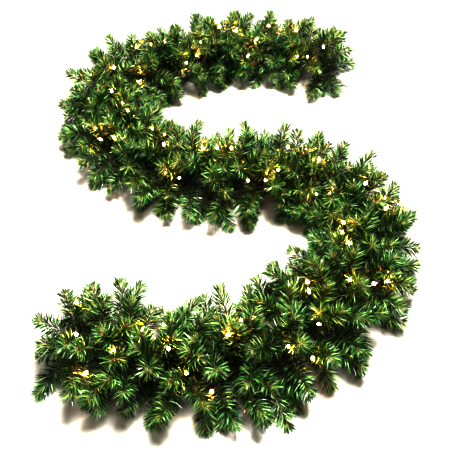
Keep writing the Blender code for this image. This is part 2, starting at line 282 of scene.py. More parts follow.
def put(mesh, places):
    mesh.vertices.foreach_set("co", np.ascontiguousarray(places, np.float32).ravel())
    mesh.update()


def mesh_from(name, bm):
    mesh = bpy.data.meshes.new(name)
    bm.to_mesh(mesh)
    bm.free()
    return mesh


def joined(name, parts):
    """One mesh from copies of meshes, each with the places that its points get."""
    bm = bmesh.new()
    for shape, _ in parts:
        bm.from_mesh(shape)
    mesh = mesh_from(name, bm)
    put(mesh, np.concatenate([places for _, places in parts]))
    return mesh


def piece(name, mesh, finishes, nodes):
    """Makes a mesh one of the object's pieces: it rides on the only body and stands for CAD nodes."""
    for finish in finishes:
        mesh.materials.append(finish)
    made = bpy.data.objects.new(name, mesh)
    bpy.context.scene.collection.objects.link(made)
    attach(made, "root")
    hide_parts(*nodes)


def wound(name, lines, wire_radius):
    """Round wires along lines of points, with closed ends, as one mesh."""
    curve = bpy.data.curves.new(name, "CURVE")
    curve.dimensions = "3D"
    curve.bevel_depth = wire_radius
    curve.bevel_resolution = WIRE_ROUNDNESS
    curve.use_fill_caps = True
    for points in lines:
        spline = curve.splines.new("POLY")
        spline.points.add(len(points) - 1)
        spline.points.foreach_set("co", np.insert(points, 3, 1, axis=1).ravel())
        spline.use_smooth = True
    holder = bpy.data.objects.new(name, curve)
    mesh = bpy.data.meshes.new_from_object(holder)
    bpy.data.objects.remove(holder)
    bpy.data.curves.remove(curve)
    return mesh


def coil(radius, angle, heights):
    """The points of a helix that stands on Z."""
    return np.stack([radius * np.cos(angle), radius * np.sin(angle), heights], axis=1)


def twisted(name, line, wire_radius, pitch, steps_per_turn):
    """Two wires twisted round each other along a line, a hair thinner than would make them touch."""
    turns = line.reach[-1] / pitch
    heights = np.linspace(0, line.reach[-1], round(turns * steps_per_turn))
    angles = [2 * math.pi * (heights / pitch + start) for start in (0, 0.5)]
    lines = [line.bend(coil(wire_radius, angle, heights)) for angle in angles]
    return wound(name, lines, wire_radius * STRAND_SHARE)


def wire_finish():
    """Steel wire with a dark green plastic coat, rubbed paler in places."""
    finish = Finish("green_coated_wire", {"Coat Weight": 0.15, "Coat Roughness": 0.3})
    coat, rubbed = (0.016, 0.045, 0.018, 1), (0.12, 0.16, 0.08, 1)
    rub = finish.noise(160.0, 4.0) ** 2.5
    finish.feed("Base Color", finish.blend(rub * 3.0, coat, rubbed))
    finish.feed("Roughness", 0.38 + 0.25 * rub)
    finish.bump(finish.noise(900.0), distance=0.1 * MM, strength=0.5)
    return finish.material


coated_wire = wire_finish()
rope_line = Line([rope_frame(GARLAND_LENGTH * k / ROPE_SAMPLES)[0] for k in range(ROPE_SAMPLES + 1)], UP)
rope_mesh = twisted("rope_wires", rope_line, ROPE_WIRE_RADIUS, ROPE_PITCH, WIRE_TURN_STEPS)
piece("rope_wires", rope_mesh, [coated_wire], ["rope"])

# The eyes
# The rope's two wires run out thinner past its end, come down to the floor and turn back into a small round
# eye that goes over a hook or nail. A whipping of thin wire holds the rope's end where they leave it.
EYE_WIRE_RADIUS = 1.6 * MM
EYE_RADIUS = 12 * MM
EYE_TURN = math.radians(325)
EYE_STEPS = 11
SHANK_LENGTH = 62 * MM
SHANK_STEPS = 5
TOUCH_GAP = 0.3 * MM
ROPE_SIDES = 5
EYE_STRAND_RADIUS = 0.62 * MM
EYE_PITCH = 9 * MM
EYE_FINENESS = 6
WHIPPING_WIRE_RADIUS = 0.7 * MM
WHIPPING_PITCH = 2.05 * WHIPPING_WIRE_RADIUS
WHIPPING_TURNS = 8
WHIPPING_TURN_STEPS = 14


def eye_points(finer=1):
    """The eye's wire: level at first, then down to the floor and round. Each point is (out, aside, down)."""
    drop = ROPE_HEIGHT - EYE_WIRE_RADIUS * math.cos(math.pi / ROPE_SIDES)
    points = []
    for step in range(SHANK_STEPS * finer + 1):
        slope = max(step / finer - 1, 0) / (SHANK_STEPS - 1)
        out = TOUCH_GAP + SHANK_LENGTH * step / (SHANK_STEPS * finer)
        points.append((out, 0, drop * slope * slope * (3 - 2 * slope)))
    for step in range(1, EYE_STEPS * finer + 1):
        turn = EYE_TURN * step / (EYE_STEPS * finer)
        out = points[SHANK_STEPS * finer][0] + EYE_RADIUS * math.sin(turn)
        points.append((out, EYE_RADIUS * (1 - math.cos(turn)), drop))
    return points


def eye_line(distance, outward, finer=1):
    """The same in space, at one end of the rope: outward is -1 at its start and 1 at its finish."""
    centre, along, across = rope_frame(distance)
    points = eye_points(finer)
    return [centre + outward * out * along + aside * across - down * UP for out, aside, down in points]


def eye(name, node, distance, outward):
    """The twisted wire of one eye and the whipping at its foot, as one piece."""
    wires = Line(eye_line(distance, outward, EYE_FINENESS), UP)
    strands = twisted(name, wires, EYE_STRAND_RADIUS, EYE_PITCH, WIRE_TURN_STEPS)
    centre, along, _ = rope_frame(distance)
    length = WHIPPING_PITCH * WHIPPING_TURNS
    held = Line([centre - outward * length * along, centre], UP)
    heights = np.linspace(0, length, WHIPPING_TURNS * WHIPPING_TURN_STEPS)
    angle = heights / length * 2 * math.pi * WHIPPING_TURNS
    whipping = wound(name, [held.bend(coil(ROPE_RADIUS, angle, heights))], WHIPPING_WIRE_RADIUS)
    both = joined(name, [(strands, places_of(strands)), (whipping, places_of(whipping))])
    piece(name, both, [coated_wire], [node])


eye("far_eye_wire", "far_eye", 0, -1)
eye("near_eye_wire", "near_eye", GARLAND_LENGTH, 1)

# The light string
# A twisted two-wire cord in dark green plastic wanders from side to side through the tips, tied down to the
# rope in places. At each step a moulded socket stands out of it and holds a lamp that burns warm white.
LAMPS = 70
CORD_RADIUS = 1.5 * MM
CORD_SIDES = 4
CORD_REACH = 52 * MM
CORD_DIP = 11 * MM
CORD_TOP = 90
CORD_SWINGS = ((58, 1.15, 0), (13, 2.9, 1))
CORD_SEAT = 0.05
CORD_TIES = (3, 20, 35, 50, 67)
TIE_WIDTH, TIE_REACH = 0.1, 0.45
SOCKET_RADIUS = 4 * MM
LAMP_REACH = 34 * MM
LAMP_LEAN, LAMP_TURN = 0.3, 5.3
CORD_STRAND_RADIUS = 0.72 * MM
CORD_PITCH = 15 * MM
CORD_TURN_STEPS = 8
CORD_FINENESS = 16
ROUND_STEPS = 10
SOCKET_OUTLINE = (
    (0, -1.2), (2.1, -1.2), (2.3, 1.5), (3.0, 3.0), (3.2, 8.0), (3.0, 8.6), (3.0, 9.4),
    (3.3, 10.0), (3.4, 15.2), (3.9, 15.6), (3.9, 17.0), (3.1, 17.2), (0, 17.2))
LAMP_OUTLINE = (
    (0, 16.8), (2.5, 16.8), (2.9, 19.5), (3.05, 23.5), (2.9, 27.0), (2.2, 30.2), (1.1, 32.4), (0, 33.8))
FILAMENT_HEIGHT = 24 * MM
FILAMENT_REACH = 3.2 * MM


def tied(lamp):
    """How far the cord has come down there: 0 is among the tips, and 1 is on the rope."""
    away = min(abs(lamp + 0.5 - tie) for tie in CORD_TIES)
    share = min(max((TIE_REACH - away) / (TIE_REACH - TIE_WIDTH), 0), 1)
    return share * share * (3 - 2 * share)


def cord_at(lamp):
    """The cord's point, counted in lamps: it wanders from side to side of its top and lifts at each lamp."""
    swings = (swing * math.sin(rate * lamp + start) for swing, rate, start in CORD_SWINGS)
    angle = math.radians(CORD_TOP + sum(swings))
    reach = CORD_REACH + CORD_DIP * math.cos(2 * math.pi * lamp)
    centre, _, across = rope_frame((lamp + 0.5) * GARLAND_LENGTH / LAMPS)
    loose = reach * (math.cos(angle) * across + math.sin(angle) * UP)
    seated = (ROPE_RADIUS + TOUCH_GAP + CORD_RADIUS * math.cos(math.pi / CORD_SIDES)) * UP
    return centre + loose.lerp(seated, tied(lamp))


def lamp_axis(lamp):
    """The direction that a lamp stands in: out from the rope, and a little along it, to and fro."""
    centre, along, _ = rope_frame((lamp + 0.5) * GARLAND_LENGTH / LAMPS)
    outward = (cord_at(lamp) - centre).normalized()
    return (outward + LAMP_LEAN * math.sin(LAMP_TURN * lamp) * along).normalized()


def turned(name, outline):
    """A round piece turned about Z from its outline of (radius, height) in millimetres."""
    bm = bmesh.new()
    rim = [bm.verts.new((radius * MM, 0, height * MM)) for radius, height in outline]
    edges = [bm.edges.new(pair) for pair in zip(rim, rim[1:])]
    bmesh.ops.spin(
        bm, geom=[*rim, *edges], cent=(0, 0, 0), axis=(0, 0, 1), dvec=(0, 0, 0),
        angle=2 * math.pi, steps=ROUND_STEPS, use_merge=True, use_duplicate=False)
    bmesh.ops.remove_doubles(bm, verts=bm.verts[:], dist=0.01 * MM)
    bmesh.ops.recalc_face_normals(bm, faces=bm.faces[:])
    for face in bm.faces:
        face.smooth = True
    return mesh_from(name, bm)


def mark(mesh, name, values):
    """Gives each point of a mesh a number that a finish can read."""
    attribute = mesh.attributes.new(name, "FLOAT", "POINT")
    attribute.data.foreach_set("value", np.asarray(values, np.float32))


def at_each_lamp(name, shape):
    """A copy of a turned shape on each lamp's axis, all in one mesh, with its points' heights marked."""
    bm = bmesh.new()
    for lamp in range(LAMPS):
        turn = lamp_axis(lamp).to_track_quat("Z", "X").to_matrix().to_4x4()
        copy = shape.copy()
        copy.transform(Matrix.Translation(cord_at(lamp)) @ turn)
        bm.from_mesh(copy)
        bpy.data.meshes.remove(copy)
    heights = np.tile(places_of(shape)[:, 2], LAMPS)
    mesh = mesh_from(name, bm)
    mark(mesh, "height", heights)
    bpy.data.meshes.remove(shape)
    return mesh


def cord_finish():
    """Dark green PVC, satin, with a faint bloom."""
    finish = Finish("green_cord_plastic", {"Specular IOR Level": 0.5})
    clean, bloomed = (0.008, 0.035, 0.012, 1), (0.022, 0.075, 0.028, 1)
    bloom = finish.noise(260.0, 3.0)
    finish.feed("Base Color", finish.blend(bloom, clean, bloomed))
    finish.feed("Roughness", 0.34 + 0.2 * bloom)
    finish.bump(finish.noise(1400.0), distance=0.06 * MM, strength=0.4)
    return finish.material


def lamp_finish():
    """Clear glass over a burning filament: white hot beside it, and amber towards socket and point."""
    constants = {"Base Color": (1.0, 0.93, 0.8, 1), "Roughness": 0.12, "Emission Strength": 430.0}
    finish = Finish("lit_lamp_glass", constants)
    hot, amber = (1.0, 0.40, 0.12, 1), (0.0032, 0.0012, 0.00024, 1)
    away = finish.read("height") * (1 / FILAMENT_REACH) - FILAMENT_HEIGHT / FILAMENT_REACH
    finish.feed("Emission Color", finish.blend((away ** 2.0).clamped(), hot, amber))
    return finish.material


cord_plastic = cord_finish()
cord_samples = [-0.5 + k / CORD_FINENESS for k in range(LAMPS * CORD_FINENESS + 1)]
cord_line = Line([cord_at(sample) for sample in cord_samples], UP)
cord_mesh = twisted("light_cord", cord_line, CORD_STRAND_RADIUS, CORD_PITCH, CORD_TURN_STEPS)
piece("light_cord", cord_mesh, [cord_plastic], ["light_string"])
sockets = at_each_lamp("lamp_sockets", turned("socket", SOCKET_OUTLINE))
piece("lamp_sockets", sockets, [cord_plastic], ["light_string"])
lamps = at_each_lamp("lamps", turned("lamp", LAMP_OUTLINE))
piece("lamps", lamps, [lamp_finish()], ["light_string"])

# The connectors
# A small moulded two-pole connector closes each end of the cord, so that garlands can be joined end to end.
# It has a rim round its open end, with two brass pins in it, and finger ribs on its sides.
CONNECTOR_SIZE = Vector((9 * MM, 13 * MM, 26 * MM))
CONNECTOR_BEVEL = 1.5 * MM
CONNECTOR_BEVEL_STEPS = 3
CONNECTOR_WALL = 1.3 * MM
CONNECTOR_DEPTH = 7 * MM
PIN_RADIUS = 0.9 * MM
PIN_POINT_RADIUS = 0.72 * MM
PIN_SIDES = 10
PIN_APART = 5 * MM
PIN_SUNK = 1 * MM
RIBS = 5
RIB_SIZE = Vector((0.62 * CONNECTOR_SIZE.x, 0.5 * MM, 0.9 * MM))
RIB_SUNK = 0.1 * MM
FIRST_RIB, RIB_STEP = 0.16, 0.09


def cord_ends():
    """Each end of the cord, with the point of the CAD cord before it."""
    stations = ((-0.5, -CORD_SEAT), (LAMPS - 0.5, LAMPS - 1 + CORD_SEAT))
    return [(cord_at(end), cord_at(before)) for end, before in stations]


def brass_finish():
    """Bare brass, brighter where it is worn."""
    finish = Finish("brass_pins", {"Metallic": 1.0})
    dull, bright = (0.72, 0.52, 0.22, 1), (0.86, 0.66, 0.32, 1)
    wear = finish.noise(500.0, 3.0)
    finish.feed("Base Color", finish.blend(wear, dull, bright))
    finish.feed("Roughness", 0.24 + 0.2 * wear)
    return finish.material


def connector(name, node, end, before):
    """A connector past one end of the cord, made standing on Z with its open end up."""
    axis = (end - before).normalized()
    bm = bmesh.new()
    bmesh.ops.create_cube(bm, size=1)
    bmesh.ops.scale(bm, vec=CONNECTOR_SIZE, verts=bm.verts[:])
    bmesh.ops.bevel(
        bm, geom=bm.edges[:], offset=CONNECTOR_BEVEL, segments=CONNECTOR_BEVEL_STEPS, profile=0.5,
        affect="EDGES", material=-1)
    mouth = max(bm.faces, key=lambda face: face.calc_center_median().z)
    bmesh.ops.inset_region(bm, faces=[mouth], thickness=CONNECTOR_WALL - CONNECTOR_BEVEL / 2)
    (floor_face,) = bmesh.ops.extrude_discrete_faces(bm, faces=[mouth])["faces"]
    bmesh.ops.translate(bm, vec=(0, 0, -CONNECTOR_DEPTH), verts=floor_face.verts[:])
    half = CONNECTOR_SIZE / 2
    for side in (-1, 1):
        for rib in range(RIBS):
            made = bmesh.ops.create_cube(bm, size=1)["verts"]
            height = -half.z + CONNECTOR_SIZE.z * (FIRST_RIB + RIB_STEP * rib)
            bmesh.ops.scale(bm, vec=RIB_SIZE, verts=made)
            bmesh.ops.translate(bm, vec=(0, side * (half.y - RIB_SUNK), height), verts=made)
        pin = bmesh.ops.create_cone(
            bm, cap_ends=True, segments=PIN_SIDES, radius1=PIN_RADIUS, radius2=PIN_POINT_RADIUS,
            depth=CONNECTOR_DEPTH)["verts"]
        height = half.z - CONNECTOR_DEPTH / 2 - PIN_SUNK
        bmesh.ops.translate(bm, vec=(0, side * PIN_APART / 2, height), verts=pin)
        for face in {face for corner in pin for face in corner.link_faces}:
            face.material_index = 1
    turn = axis.to_track_quat("Z", "X").to_matrix().to_4x4()
    shift = Matrix.Translation(end + (TOUCH_GAP + half.z) * axis)
    bmesh.ops.transform(bm, matrix=shift @ turn, verts=bm.verts[:])
    piece(name, mesh_from(name, bm), [cord_plastic, brass], [node])


brass = brass_finish()
for (end, before), side in zip(cord_ends(), ("far", "near")):
    connector(f"{side}_plug", f"{side}_connector", end, before)

# The sprays
# Each spray is nine pine tips wound on the rope: the CAD model's five, and four in the room between them.
# They are drawn at random round a regular plan, and aimed again until they keep clear of each other.
SEED = 9
SPRAYS = 46
SLEEVE_LENGTH = 10 * MM
SLEEVE_SIDES = 6
SLEEVE_INNER_RADIUS = 3.8 * MM
SLEEVE_OUTER_RADIUS = 6.8 * MM
TIP_LENGTH = 124 * MM
TIP_ANGLES = (-10, 40, 90, 140, 190)
TIP_LEANS = (18, -27, 38, -30, 20)
TIP_REACHES = (1.04, 0.98, 0.94, 0.98, 1.04)
SHORTEST_TIP, LONGEST_TIP = 0.93, 1.05
ANGLE_SHIFT = 9
BOW = 12 * MM
LOWEST_TIP = 11 * MM
HIGHEST_TIP = 142 * MM
STEM_RADIUS = 1.9 * MM
STEM_SIDES = 3
END_NEEDLE_LENGTH = 16 * MM
STEM_SHARES = (0.12, 0.46, 0.81, 1)
STEM_ROOM = (3.8 * MM, STEM_RADIUS, STEM_RADIUS, STEM_RADIUS)
STEM_CLEARANCE = 7 * MM
STEM_TRIES = 400
STEM_STRAY = (5, 0.25)
NEIGHBOURHOOD = 60 * MM
FILLER_ANGLES = (14, 66, 114, 166)
FILLER_REACH = 1.02
FILLER_BACK_REACH = 0.2
FILLER_LEAN = 12
FILLER_CLEARANCE = 5 * MM
FILLER_TRIES = 80
PHOTO_SIZE = 450
SENSOR_WIDTH = 36
# The regular plan would leave these places bare, and the photograph shows them covered, so a filler is aimed
# at each. It is named by its spray, counted from one, and by its place there, counted from nought. The pixel
# follows, counted from the upper left, and the height over the floor in millimetres.
SEEN_FILLERS = {
    (1, 2): (326, 92, 30), (1, 3): (329, 90, 30), (4, 1): (283, 18, 120), (8, 0): (185, 28, 110),
    (12, 0): (110, 46, 110), (12, 1): (104, 52, 100), (13, 0): (97, 57, 100), (13, 1): (88, 65, 100),
    (15, 0): (57, 114, 60), (16, 0): (56, 131, 50), (19, 0): (114, 188, 30), (21, 0): (152, 209, 30),
    (21, 1): (150, 210, 30), (22, 0): (171, 211, 30), (23, 0): (212, 222, 30), (24, 0): (230, 222, 30),
    (25, 2): (262, 128, 150), (25, 3): (262, 129, 130), (26, 3): (276, 126, 130), (27, 2): (305, 134, 140),
    (27, 3): (305, 134, 120), (28, 2): (337, 148, 130), (28, 3): (335, 146, 120), (30, 2): (384, 182, 120),
    (31, 2): (404, 199, 120), (31, 3): (405, 200, 110), (32, 2): (414, 228, 100), (32, 3): (412, 228, 90),
    (35, 0): (292, 262, 100), (35, 3): (376, 341, 40), (36, 0): (282, 268, 100), (36, 1): (282, 268, 120),
    (37, 3): (338, 380, 30), (39, 2): (283, 418, 30), (40, 2): (245, 424, 30), (41, 3): (210, 426, 30),
    (42, 0): (190, 311, 110), (43, 3): (127, 411, 40), (46, 1): (68, 295, 110), (46, 3): (44, 361, 60)}
# These stand beside them. Each has its angle and its lean in degrees and its share of the usual length.
AIMED_FILLERS = {
    (4, 0): (24, -9, 1.15), (11, 0): (23, 14, 1.15), (30, 3): (145, -8, 0.9), (34, 0): (18, 6, 1.2),
    (35, 1): (27, 14, 1.25), (39, 3): (187, 8, 1.2), (40, 3): (188, -8, 1.08), (46, 0): (40, 30, 0.75)}
BOX_MARGIN = 9 * MM
TIP_SHORTENING = 0.95
NEAR_END = 0.9
NEARLY_PARALLEL = 1e-14


class Room:
    """Straight stretches that are taken, each with its thickness."""

    def __init__(self):
        self.starts, self.ends, self.radii = np.zeros((0, 3)), np.zeros((0, 3)), np.zeros(0)

    def take(self, points, radii):
        rows = np.array(points)
        self.starts = np.append(self.starts, rows[:-1], axis=0)
        self.ends = np.append(self.ends, rows[1:], axis=0)
        self.radii = np.append(self.radii, np.zeros(len(rows) - 1) + radii)

    def gap(self, points, radii):
        """The clear width between a new line and all that is taken near it."""
        return min(self.stretch_gap(*stretch) for stretch in zip(points, points[1:], radii))

    def stretch_gap(self, start, end, radius):
        """The same for one straight stretch, by the nearest points of two stretches in space."""
        start, end = np.array(start), np.array(end)
        middles = (self.starts + self.ends) / 2
        near = np.abs(middles - (start + end) / 2).max(axis=1) < NEIGHBOURHOOD
        if not near.any():
            return NEIGHBOURHOOD
        first, second = self.starts[near], self.ends[near]
        one, two, apart = end - start, second - first, start - first
        own, theirs = one @ one, (two * two).sum(axis=1)
        across, lead, trail = two @ one, apart @ one, (two * apart).sum(axis=1)
        spread = np.maximum(own * theirs - across * across, NEARLY_PARALLEL)
        share = np.clip((across * trail - lead * theirs) / spread, 0, 1)
        other = np.clip((across * share + trail) / theirs, 0, 1)
        share = np.clip((across * other - lead) / own, 0, 1)
        nearest = start + share[:, None] * one - first - other[:, None] * two
        return float((np.linalg.norm(nearest, axis=1) - self.radii[near]).min()) - radius


def room_on_the_rope():
    """The room that the rope, its eyes, the light string and its connectors take up."""
    room = Room()
    room.take([rope_frame(distance)[0] for distance in rope_distances()], ROPE_RADIUS)
    room.take(eye_line(0, -1), ROPE_RADIUS)
    room.take(eye_line(GARLAND_LENGTH, 1), ROPE_RADIUS)
    stations = [-0.5]
    for lamp in range(LAMPS):
        stations += [lamp - CORD_SEAT, lamp + CORD_SEAT, lamp + 0.5]
    for tie in CORD_TIES:
        stations += [tie - 0.5 - TIE_WIDTH, tie - 0.5 + TIE_WIDTH]
    room.take([cord_at(station) for station in sorted(stations)], CORD_RADIUS)
    for lamp in range(LAMPS):
        room.take([cord_at(lamp), cord_at(lamp) + LAMP_REACH * lamp_axis(lamp)], SOCKET_RADIUS)
    for end, before in cord_ends():
        axis = (end - before).normalized()
        room.take([end, end + CONNECTOR_SIZE.z * axis], CONNECTOR_SIZE.y / 2)
    return room


def rope_distances():
    """Where the CAD rope's corners are. Each spray sits in the middle of a straight stretch between two."""
    stretch = GARLAND_LENGTH / (2 * SPRAYS)
    return [0, *((number + 0.5) * stretch for number in range(2 * SPRAYS)), GARLAND_LENGTH]


def sleeve_place(spray):
    """The middle and the direction of the straight stretch of rope that this spray is wound on."""
    start, end = (rope_frame(distance)[0] for distance in rope_distances()[2 * spray + 1:2 * spray + 3])
    return (start + end) / 2, (end - start).normalized()


def sleeve(spray):
    """The ring that the CAD model has where a spray is wound on, whose outer faces the stems leave from."""
    centre, along = sleeve_place(spray)
    bm = bmesh.new()
    edges = set()
    for radius in (SLEEVE_INNER_RADIUS, SLEEVE_OUTER_RADIUS):
        corners = bmesh.ops.create_circle(bm, segments=SLEEVE_SIDES, radius=radius)["verts"]
        edges |= {edge for corner in corners for edge in corner.link_edges}
    faces = bmesh.ops.bridge_loops(bm, edges=list(edges))["faces"]
    made = bmesh.ops.extrude_face_region(bm, geom=faces)["geom"]
    moved = [part for part in made if isinstance(part, bmesh.types.BMVert)]
    bmesh.ops.translate(bm, vec=(0, 0, SLEEVE_LENGTH), verts=moved)
    place = Matrix((along.cross(UP), UP, -along)).transposed().to_4x4()
    place.translation = centre + SLEEVE_LENGTH / 2 * along
    turn = Matrix.Rotation(math.pi / SLEEVE_SIDES, 4, "Z")
    bmesh.ops.transform(bm, matrix=place @ turn, verts=bm.verts[:])
    bmesh.ops.recalc_face_normals(bm, faces=bm.faces[:])
    outside = [
        face for face in bm.faces
        if face.normal.dot(face.calc_center_median() - centre) > SLEEVE_LENGTH / 2]
    bmesh.ops.triangulate(bm, faces=outside)
    return bm


def seat_for(bm, spray, angle, lean):
    """The triangle of the ring's outside that faces that angle, on the side that the tip leans to."""
    centre, along = sleeve_place(spray)
    angle = math.radians(angle)
    wanted = SLEEVE_OUTER_RADIUS * (math.cos(angle) * along.cross(UP) + math.sin(angle) * UP)
    wanted += centre + math.copysign(SLEEVE_LENGTH / 6, lean) * along
    threes = [face for face in bm.faces if len(face.verts) == STEM_SIDES]
    return min(threes, key=lambda face: (face.calc_center_median() - wanted).length)


class Tip:
    """One pine tip: a bowed stem that leaves its root in a direction."""

    def __init__(self, root, direction, length, bow):
        self.root, self.direction, self.length, self.bow = root, direction, length, bow

    def at(self, share):
        return self.root + share * self.length * self.direction + share * share * self.bow

    def end(self):
        """The point of the needle that stands straight on past the stem, which the floor stops."""
        point = self.at(1) + END_NEEDLE_LENGTH * (self.at(1) - self.at(NEAR_END)).normalized()
        point.z = max(point.z, 0)
        return point

    def line(self):
        return [*(self.at(share) for share in STEM_SHARES), self.end()]


def inside(point):
    """Whether a stem may end there: the needles past its end stay inside the garland's box."""
    sides = zip(cad_low, point, cad_high)
    return all(low + BOX_MARGIN < place < high - BOX_MARGIN for low, place, high in sides)


def draw_tip(spray, angle, lean, reach, root, draw, room, clearance, tries):
    """A tip whose stem keeps clear of all there is. It is aimed again, and more freely, until it does."""
    along = sleeve_place(spray)[1]
    across = along.cross(UP)
    best, best_gap = None, -1.0
    for attempt in range(tries):
        stray = STEM_STRAY[0] + STEM_STRAY[1] * attempt
        turn = math.radians(angle + draw.uniform(-stray, stray))
        tilt = math.radians(lean + draw.uniform(-stray, stray))
        length = TIP_LENGTH * reach * draw.uniform(SHORTEST_TIP, LONGEST_TIP)
        bow = BOW * (draw.uniform(-1, 1) * UP + draw.uniform(-1, 1) * along)
        direction = math.cos(tilt) * (math.cos(turn) * across + math.sin(turn) * UP) + math.sin(tilt) * along
        tip = Tip(root, direction, length, bow)
        height = tip.at(1).z
        tip.bow = bow + (min(max(height, LOWEST_TIP), HIGHEST_TIP) - height) * UP
        gap = room.gap(tip.line(), STEM_ROOM)
        if gap > best_gap:
            best, best_gap = tip, gap
        if gap > clearance:
            break
    while not inside(best.at(1)):
        best.length *= TIP_SHORTENING
    room.take(best.line(), STEM_ROOM)
    return best


def seen_at(across, down, height):
    """The point at that height over the floor that shows at that pixel of the photograph."""
    middle = PHOTO_SIZE / 2
    ray = Vector((across - middle, middle - down, -PHOTO_SIZE * CAMERA_LENS / SENSOR_WIDTH))
    ray.rotate(camera.rotation_euler)
    return camera.location + (height - camera.location.z) / ray.z * ray


def aim_of(spray, end):
    """The angle, lean and reach of a tip of that spray, counted from one, which ends at that point."""
    centre, along, across = rope_frame((spray - 0.5) * GARLAND_LENGTH / SPRAYS)
    way = end - centre
    angle = (math.degrees(math.atan2(way.z, way @ across)) + 90) % 360 - 90
    lean = math.degrees(math.asin(way @ along / way.length))
    return round(angle), round(lean), round(way.length / TIP_LENGTH, 2)


def filler_aims():
    """The aims of the fillers that the regular plan doesn't place."""
    aims = dict(AIMED_FILLERS)
    for (spray, place), (across, down, height) in SEEN_FILLERS.items():
        aims[spray, place] = aim_of(spray, seen_at(across, down, height * MM))
    return aims


def draw_sprays():
    """The five tips of every spray, as the CAD model has them, and then the four that fill the room.

    The fillers reach further at the back of the garland, where they stand up clear of the others."""
    draw = random.Random(SEED)
    room = room_on_the_rope()
    rings = [sleeve(spray) for spray in range(SPRAYS)]
    sprays = []
    for spray, ring in enumerate(rings):
        tips = []
        shift = ANGLE_SHIFT if spray % 2 else -ANGLE_SHIFT
        for place, angle in enumerate(TIP_ANGLES):
            lean = TIP_LEANS[place] if spray % 2 else -TIP_LEANS[place]
            root = seat_for(ring, spray, angle, lean).calc_center_median()
            tips.append(draw_tip(
                spray, angle + shift, lean, TIP_REACHES[place], root, draw, room, STEM_CLEARANCE, STEM_TRIES))
        sprays.append(tips)
    aims = filler_aims()
    draw = random.Random(SEED + 2)
    for spray, ring in enumerate(rings):
        across = sleeve_place(spray)[1].cross(UP)
        for place, angle in enumerate(FILLER_ANGLES):
            backward = math.cos(math.radians(angle)) * across.y
            reach = FILLER_REACH + FILLER_BACK_REACH * max(0, backward)
            lean = draw.uniform(-FILLER_LEAN, FILLER_LEAN)
            angle, lean, reach = aims.get((spray + 1, place), (angle, lean, reach))
            root = seat_for(ring, spray, angle, lean).calc_center_median()
            tip = draw_tip(spray, angle, lean, reach, root, draw, room, FILLER_CLEARANCE, FILLER_TRIES)
            sprays[spray].append(tip)
        ring.free()
    return sprays


# The needles and their stems
# A tip is a stem of two brown twisted wires that hold some 260 flat, pointed needles of cut film, green and a
# few brown, like a bottle brush. The foot of each stem is wound tight round the rope.
NEEDLE_LENGTH = 36 * MM
NEEDLE_WIDTH = 2.8 * MM
NEEDLE_THICKNESS = 0.6 * MM
NEEDLE_WIDEST = 0.5
NEEDLE_BEND = -1.0 * MM
NEEDLE_ROLLS = (0, 40, 90, 140)
NEEDLES = 221
NEEDLE_CROWDING = 0.78
NEEDLE_SPAN = (0.05, 0.965)
NEEDLE_SPLAYS = (80, 60, 36)
NEEDLE_SPLAY_STRAY = 9
NEEDLE_TURN_STRAY = 0.3
NEEDLE_SIZES = (0.9, 1.04)
END_SHARE = 0.76
END_SHORTENING = 0.16
CROWN_NEEDLES = 24
CROWN_SPLAYS = (4, 48)
CROWN_LENGTHS = (17 * MM, 30 * MM)
CROWN_SIZES = (0.9, 1.05)
BRUSHES = 12
GOLDEN_TURN = math.pi * (3 - math.sqrt(5))
BROWN_NEEDLES = 18
BROWN_LENGTH = 13 * MM
BROWN_START, BROWN_SPAN = 0.08, 0.9
BROWN_SPLAYS = (45, 80)
BROWN_SIZES = (0.7, 1.2)
BROWN_TURNS = 2.1
BOX_SHARE = 0.97
SHORTEST_NEEDLE = 0.2
NO_REACH = 1e-6
STEM_TWISTS = 11
STEM_RINGS = 34
STEM_HALF = Vector((1.35 * MM, 0.8 * MM, 1))
STEM_INWARD = 3 * MM
STEM_LINE_STEPS = 12
WINDING_STEPS = 39
WINDING_TURNS = 3.5
WINDING_RADIUS = 4.3 * MM
WINDING_WIRE_RADIUS = 1.15 * MM
FLOOR_SOFT = 8 * MM
FLOOR_CLEAR = 0.9 * MM


def needle(roll):
    """A needle that stands on Z and bends to +X, its flat side turned by the roll.

    It starts as a three-sided cone of radius 1, whose base is root three wide and one and a half deep."""
    bm = bmesh.new()
    widest = NEEDLE_WIDEST * NEEDLE_LENGTH
    bmesh.ops.create_cone(bm, cap_ends=True, segments=3, radius1=1, radius2=0, depth=NEEDLE_LENGTH - widest)
    bmesh.ops.scale(bm, vec=(NEEDLE_WIDTH / math.sqrt(3), NEEDLE_THICKNESS / 1.5, 1), verts=bm.verts[:])
    turn = Matrix.Rotation(math.radians(roll), 3, "Z")
    bmesh.ops.rotate(bm, cent=(0, 0, 0), matrix=turn, verts=bm.verts[:])
    bmesh.ops.translate(bm, vec=(0, 0, (NEEDLE_LENGTH + widest) / 2), verts=bm.verts[:])
    base = min(bm.faces, key=lambda face: face.calc_center_median().z)
    bmesh.ops.translate(bm, vec=(-NEEDLE_BEND, 0, 0), verts=base.verts[:])
    bmesh.ops.poke(bm, faces=[base])["verts"][0].co = (0, 0, 0)
    return mesh_from("needle", bm)


